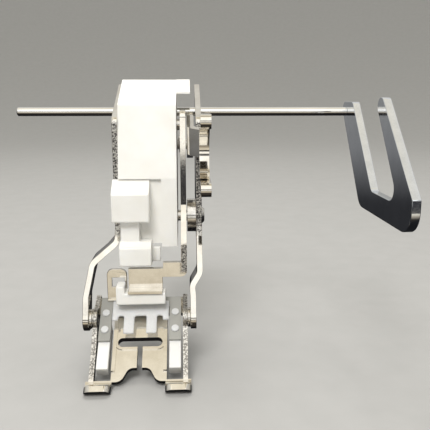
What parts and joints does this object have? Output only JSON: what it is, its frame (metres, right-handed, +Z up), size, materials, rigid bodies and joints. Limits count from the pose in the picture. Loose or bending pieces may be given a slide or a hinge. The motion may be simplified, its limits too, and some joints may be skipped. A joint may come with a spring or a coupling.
{
  "type": "walking presser foot",
  "caption": "Walking presser foot for a sewing machine: a white mechanism between bright side plates, a needle fork, a drooping hinged sole with upper feed pads, and a sliding seam guide.",
  "frame": {"origin": "on the presser bar axis, at the middle of the clamp", "axes": "+Z up along the presser bar, +X to the right of the person sewing, -Y towards them; the needle works in front, at negative Y"},
  "size_m": [0.0942, 0.058, 0.0752],
  "materials": {
    "plated_steel": "bright nickel plating over pressed steel sheet",
    "pin_steel": "turned and riveted steel",
    "cast_metal": "satin plated block",
    "white_moulding": "smooth white moulded plastic",
    "grey_strip": "dull grey strip",
    "milky_comb": "milky moulded plastic",
    "white_pad": "white feed pads and studs"
  },
  "bodies": {
    "frame": {"left_side_plate": "plated_steel", "right_side_plate": "plated_steel", "shank_clamp": "cast_metal", "mechanism_housing": "white_moulding", "front_guide": "white_moulding", "lower_cross_pin": "pin_steel", "lever_pin": "pin_steel", "carriage_pin": "pin_steel", "sole_pivot_left": "pin_steel", "sole_pivot_right": "pin_steel", "pivot_washer_left": "pin_steel", "pivot_washer_right": "pin_steel", "pin_spacer": "pin_steel", "lever_spring": "pin_steel"},
    "sole": {"sole_plate": "plated_steel"},
    "feeder": {"feeder_plate": "grey_strip", "feed_pad_left": "white_pad", "feed_pad_right": "white_pad", "feeder_stud_1": "white_pad", "feeder_stud_2": "white_pad", "feeder_stud_3": "white_pad", "feeder_stud_4": "white_pad", "feeder_comb": "milky_comb", "feeder_yoke": "plated_steel"},
    "lever": {"fork_lever": "plated_steel"},
    "carriage": {"carriage_arm": "plated_steel", "carriage_bar": "white_moulding"},
    "guide": {"guide_rod": "plated_steel", "guide_plate": "plated_steel"}
  },
  "joints": [
    {"name": "sole_hinge", "type": "hinge", "parent": "frame", "child": "sole", "pos_m": [0, -0.0285, -0.039], "axis": [-1, 0, 0], "range_deg": [0, 42]},
    {"name": "lever_hinge", "type": "hinge", "parent": "frame", "child": "lever", "pos_m": [0.0134, -0.0035, 0.004], "axis": [-1, 0, 0], "range_deg": [-20, 20]},
    {"name": "carriage_swing", "type": "hinge", "parent": "frame", "child": "carriage", "pos_m": [0.01145, -0.0125, 0.01], "axis": [1, 0, 0], "range_deg": [-2, 2]},
    {"name": "feeder_slide", "type": "slide", "parent": "sole", "child": "feeder", "axis": [0, 0.788, 0.6157], "range_m": [-0.0017, 0.0017]},
    {"name": "guide_slide", "type": "slide", "parent": "frame", "child": "guide", "axis": [1, 0, 0], "range_m": [-0.03, 0.024]}
  ],
  "couplings": [
    {"joint": "carriage_swing", "follows": "lever_hinge", "ratio": 0.0975},
    {"joint": "feeder_slide", "follows": "lever_hinge", "m_per_rad": 0.0047}
  ]
}
